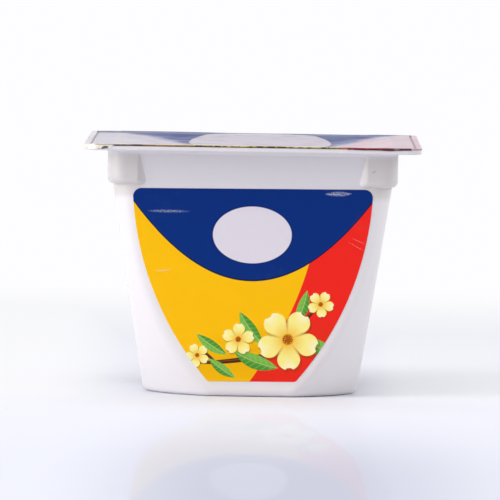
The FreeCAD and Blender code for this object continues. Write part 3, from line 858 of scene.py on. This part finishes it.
def turn_edge_down(lid, sizes):
    """Extrudes the sheet's edge downwards as a thin lip, lower where it is crumpled at the
    front left corner and along the right of the front, where it bulges at one place."""
    crumple_reach = 7.2 * MM
    front_strip, low_from, low_by = 0.3 * MM, 22 * MM, 0.22 * MM
    bulge_place, bulge_width, bulge = 32.5 * MM, 2.6 * MM, 0.22 * MM
    bpy.ops.object.mode_set(mode="EDIT")
    bpy.ops.mesh.select_mode(type="EDGE")
    bpy.ops.mesh.select_all(action="DESELECT")
    bpy.ops.mesh.select_non_manifold()
    bpy.ops.mesh.extrude_edges_move(
        TRANSFORM_OT_translate={"value": (0, 0, -sizes.lip)})
    bpy.ops.object.mode_set(mode="OBJECT")
    lip = [vertex for vertex in lid.data.vertices if vertex.select]
    half = sizes.side / 2
    for vertex in lip:
        place = vertex.co
        wave = math.sin(place.x * 900) * math.sin(place.x * 310 + place.y * 270 + 1)
        drop = 0.03 * MM * (1 + wave)
        near_left = math.hypot(place.x + half, place.y + half)
        if near_left < crumple_reach:
            share = 1 - near_left / crumple_reach
            drop += (0.78 + 0.20 * math.sin(place.x * 4200)) * MM * min(1, 4.5 * share)
        if place.y < -half + front_strip and place.x > low_from:
            drop += low_by
            drop += bulge * math.exp(-((place.x - bulge_place) / bulge_width) ** 2)
        place.z -= drop


class DESSERTCUP_OT_make_lid(Operator):
    """Make the printed foil lid: a thin sheet with a seal crease, waves and a turned edge"""

    bl_idname = "dessert_cup.make_lid"
    bl_label = "Foil lid"
    bl_options = {"REGISTER", "UNDO"}

    def execute(self, context):
        sizes = context.scene.dessert_cup_lid
        bpy.ops.object.select_all(action="DESELECT")
        bpy.ops.mesh.primitive_grid_add(
            x_subdivisions=sizes.cells, y_subdivisions=sizes.cells, size=sizes.side,
            location=(0, 0, FOIL_TOP + 0.002 * MM))
        lid = context.object
        lid.name = "printed_lid"
        bpy.ops.object.transform_apply(location=True, rotation=True, scale=True)
        bpy.ops.object.mode_set(mode="EDIT")
        round_sheet_corners(sizes)
        cut_crease_lines(sizes)
        bpy.ops.object.mode_set(mode="OBJECT")
        add_modifier(
            lid, "lie on the cup", "SHRINKWRAP", target=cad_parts["lid_foil"],
            wrap_method="PROJECT", use_project_z=True, use_negative_direction=True,
            use_positive_direction=False, cull_face="OFF")
        ripple_sheet(lid, sizes)
        inner = sizes.side / 2 - sizes.seal_inset
        select_where(
            lid, lambda place: abs(max(abs(place.x), abs(place.y)) - inner) < 0.02 * MM)
        lower_selected(sizes.crease)
        select_where(lid, lambda place: True)
        lower_selected(sizes.clearance)
        raise_edges(lid, sizes)
        turn_edge_down(lid, sizes)
        add_modifier(lid, "foil", "SOLIDIFY", thickness=sizes.thickness, offset=-1.0)
        bpy.ops.object.shade_smooth_by_angle(angle=math.radians(40))
        lay_material(lid, finish_printed_foil(context.scene.dessert_cup_inks, sizes))
        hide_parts("lid_foil")
        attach(lid, "root")
        return {"FINISHED"}


class DESSERTCUP_OT_finish_tub(Operator):
    """Give the moulded tub its white plastic"""

    bl_idname = "dessert_cup.finish_tub"
    bl_label = "Tub plastic"
    bl_options = {"REGISTER", "UNDO"}

    def execute(self, context):
        lay_material(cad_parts["tub"], finish_tub_plastic(context.scene.dessert_cup_tub))
        return {"FINISHED"}


class DESSERTCUP_OT_finish_label(Operator):
    """Give the front label its print"""

    bl_idname = "dessert_cup.finish_label"
    bl_label = "Label print"
    bl_options = {"REGISTER", "UNDO"}

    def execute(self, context):
        inks = context.scene.dessert_cup_inks
        lay_material(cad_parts["front_label"], finish_printed_label(inks))
        return {"FINISHED"}


class DESSERTCUP_OT_build_effects(Operator):
    """Build the shared effects: pointed oval, blossom, print and handling marks"""

    bl_idname = "dessert_cup.build_effects"
    bl_label = "Shared effects"
    bl_options = {"REGISTER", "UNDO"}

    def execute(self, context):
        build_lens()
        build_blossom()
        build_print()
        build_handling_marks()
        return {"FINISHED"}


# ---------------------------------------------------------------- the stage


def seen_share(tree, mirrored=1.0):
    """1 for what the camera sees directly or through a piece, and this share for what it
    sees in a gloss."""
    paths = add_node(tree, "LightPath")
    glossy = Signal(tree, paths.outputs["Is Glossy Ray"]) * mirrored
    seen = Signal(tree, paths.outputs["Is Camera Ray"]).most(glossy)
    return seen.most(paths.outputs["Is Transmission Ray"])


def finish_sheet(stage):
    """Pale sheet: it takes the cup's shadow and a faint mirror image, and whitens with
    the distance from the cup."""
    material = bpy.data.materials.new("stage_sheet")
    tree, output = empty_tree(material, "OutputMaterial")
    x, y, _ = split(tree, add_node(tree, "TexCoord").outputs["Object"])
    # The sheet is painted darker in front of the cup, a painted shadow and reflection of the
    # cup, and its gloss leans towards the front there, which shortens the mirror image. Far
    # to the sides it has no gloss.
    ahead = abs(x - 0.010).ramp(0.055, 0.012, 0.25, 1.0) * y.ramp(-0.05, -0.25)
    darker = [part * share for part, share in zip(stage.sheet, (0.72, 0.73, 0.79))]
    matt = add_node(tree, "BsdfDiffuse", {
        "Color": blend_colour(tree, ahead, stage.sheet[:], darker)})
    lean = (y.ramp(-0.080, -0.196) - y.ramp(-0.21, -0.36) * 0.2) * stage.lean
    turned = add_node(tree, "CombineXYZ", {0: 0.0, 1: lean * -1.0, 2: 1.0})
    upright = add_node(tree, "VectorMath", {0: turned.outputs[0]}, operation="NORMALIZE")
    mirror = add_node(tree, "BsdfGlossy", {
        "Color": (0.72, 0.78, 1.0, 1.0), "Roughness": 0.03, "Normal": upright.outputs[0]})
    near = add_node(tree, "MixShader", {
        0: abs(x).ramp(0.14, 0.085) * stage.shine, 1: matt.outputs[0],
        2: mirror.outputs[0]})
    # It turns white behind the cup, all round at a distance, and partly at each side of the
    # foot, more so on the left; beside the foot this white is painted light that thins the
    # cup's shadow.
    white = add_node(tree, "Emission", {"Color": WHITE, "Strength": 1.0})
    reach = (x * x + y * y).math("SQRT")
    back = reach.ramp(0.06, 0.42) * y.ramp(-0.02, 0.12)
    far = reach.ramp(0.42, 0.80)
    left = x.ramp(-0.022, -0.052) * y.ramp(-0.075, -0.015) * 0.78
    right = x.ramp(0.022, 0.040) * y.ramp(-0.060, -0.010) * 0.40
    white_share = back.most(far).most(left + right)
    both = add_node(tree, "MixShader", {
        0: white_share * seen_share(tree), 1: near.outputs[0], 2: white.outputs[0]})
    plug(tree, both.outputs[0], output.inputs["Surface"])
    arrange(tree)
    return material


def light_room(scene):
    """A soft room, bright above and behind the cup and dimmer in front of it. The camera
    sees it white."""
    world = bpy.data.worlds.new("studio")
    scene.world = world
    tree, output = empty_tree(world, "OutputWorld")
    _, y, z = split(tree, add_node(tree, "TexCoord").outputs["Generated"])
    level = 0.205 + z.ramp(0.05, 0.9) * 0.235 + y.ramp(-0.5, 0.8) * 0.15
    soft = add_node(tree, "Background", {
        "Color": (0.975, 0.97, 1.0, 1.0), "Strength": level})
    mirrored = 0.30 + y.ramp(0.1, 0.7) * z.ramp(0.56, 0.26) * 0.70
    white = add_node(tree, "Background", {"Color": WHITE, "Strength": 1.0})
    both = add_node(tree, "MixShader", {
        0: seen_share(tree, mirrored), 1: soft.outputs[0], 2: white.outputs[0]})
    plug(tree, both.outputs[0], output.inputs["Surface"])
    arrange(tree)


# The lamps: name, place, width and height in metres, and power in watts.
LAMPS = (
    ("side_left", (-0.77, -0.40, 0.30), 0.5, 0.5, 5.4),
    ("side_right", (0.74, -0.06, 0.44), 0.5, 0.5, 2.6),
    ("glint", (0.60, -0.60, 0.34), 0.06, 0.5, 0.32),
    ("top", (0.0, 0.10, 0.95), 0.8, 0.6, 1.9),
    ("front_top", (-0.24, -0.50, 0.93), 0.6, 0.4, 3.3),
)
LAMP_AIM = (0, 0, 0.03)


def add_lamp(name, place, width, height, power):
    """Adds a soft rectangular lamp that shines at the cup's middle."""
    lamp = bpy.data.lights.new(name, "AREA")
    lamp.shape = "RECTANGLE"
    lamp.size = width
    lamp.size_y = height
    lamp.energy = power
    holder = bpy.data.objects.new(name, lamp)
    holder.visible_camera = False
    bpy.context.scene.collection.objects.link(holder)
    away = Vector(place) - Vector(LAMP_AIM)
    turned = away.to_track_quat("Z", "Y").to_matrix().to_4x4()
    holder.matrix_world = Matrix.Translation(place) @ turned


def add_camera(stage):
    """Adds the scene's camera at the viewing angle."""
    flat = math.cos(stage.elevation)
    back = Vector((math.sin(stage.turn) * flat, -math.cos(stage.turn) * flat,
                   math.sin(stage.elevation)))
    level = Vector((math.cos(stage.turn), math.sin(stage.turn), 0))
    above = back.cross(level)
    right = level * math.cos(stage.roll) + above * math.sin(stage.roll)
    up = above * math.cos(stage.roll) - level * math.sin(stage.roll)
    lens = bpy.data.cameras.new("camera")
    lens.lens = stage.lens
    lens.sensor_width = 36
    lens.clip_end = 60
    camera = bpy.data.objects.new("camera", lens)
    bpy.context.scene.collection.objects.link(camera)
    place = Vector(stage.aim) + back * stage.distance
    turned = Matrix((right, up, back)).transposed().to_4x4()
    camera.matrix_world = Matrix.Translation(place) @ turned
    bpy.context.scene.camera = camera


class DESSERTCUP_OT_make_stage(Operator):
    """Make the floor, the backdrop, the lamps and the camera"""

    bl_idname = "dessert_cup.make_stage"
    bl_label = "Stage"
    bl_options = {"REGISTER", "UNDO"}

    def execute(self, context):
        stage = context.scene.dessert_cup_stage
        bpy.ops.object.select_all(action="DESELECT")
        bpy.ops.mesh.primitive_plane_add(size=1.0, location=(0, 0, 0))
        sheet = context.object
        sheet.name = "stage_sheet"
        sheet.scale = (12, 12, 1)
        bpy.ops.object.transform_apply(location=True, rotation=True, scale=True)
        lay_material(sheet, finish_sheet(stage))

        context.scene.view_settings.view_transform = "Standard"
        light_room(context.scene)
        for lamp in LAMPS:
            add_lamp(*lamp)
        add_camera(stage)
        return {"FINISHED"}


class DESSERTCUP_PT_panel(Panel):
    """Lists the operators and the sizes and colours they use"""

    bl_idname = "DESSERTCUP_PT_panel"
    bl_label = "Dessert cup"
    bl_space_type = "VIEW_3D"
    bl_region_type = "UI"
    bl_category = "Dessert cup"

    def draw(self, context):
        layout = self.layout
        for operator in PIECE_ORDER:
            layout.operator(operator.bl_idname)
        for name, kind in SETTINGS.items():
            box = layout.box()
            box.label(text=kind.__doc__)
            for setting in kind.__annotations__:
                box.prop(getattr(context.scene, name), setting)


SETTINGS = {
    "dessert_cup_inks": PrintColours,
    "dessert_cup_tub": TubFinish,
    "dessert_cup_lid": LidSizes,
    "dessert_cup_stage": StageSizes,
}
PIECE_ORDER = (
    DESSERTCUP_OT_build_effects,
    DESSERTCUP_OT_finish_tub,
    DESSERTCUP_OT_finish_label,
    DESSERTCUP_OT_make_lid,
    DESSERTCUP_OT_make_stage,
)


def register():
    for kind in (*SETTINGS.values(), *PIECE_ORDER, DESSERTCUP_PT_panel):
        bpy.utils.register_class(kind)
    for name, kind in SETTINGS.items():
        setattr(bpy.types.Scene, name, PointerProperty(type=kind))


def unregister():
    for name in SETTINGS:
        delattr(bpy.types.Scene, name)
    for kind in (DESSERTCUP_PT_panel, *reversed(PIECE_ORDER), *reversed(SETTINGS.values())):
        bpy.utils.unregister_class(kind)


def main():
    register()
    bpy.ops.dessert_cup.build_effects()
    bpy.ops.dessert_cup.finish_tub()
    bpy.ops.dessert_cup.finish_label()
    bpy.ops.dessert_cup.make_lid()
    bpy.ops.dessert_cup.make_stage()
    bpy.context.view_layer.update()


if __name__ == "__main__":
    main()
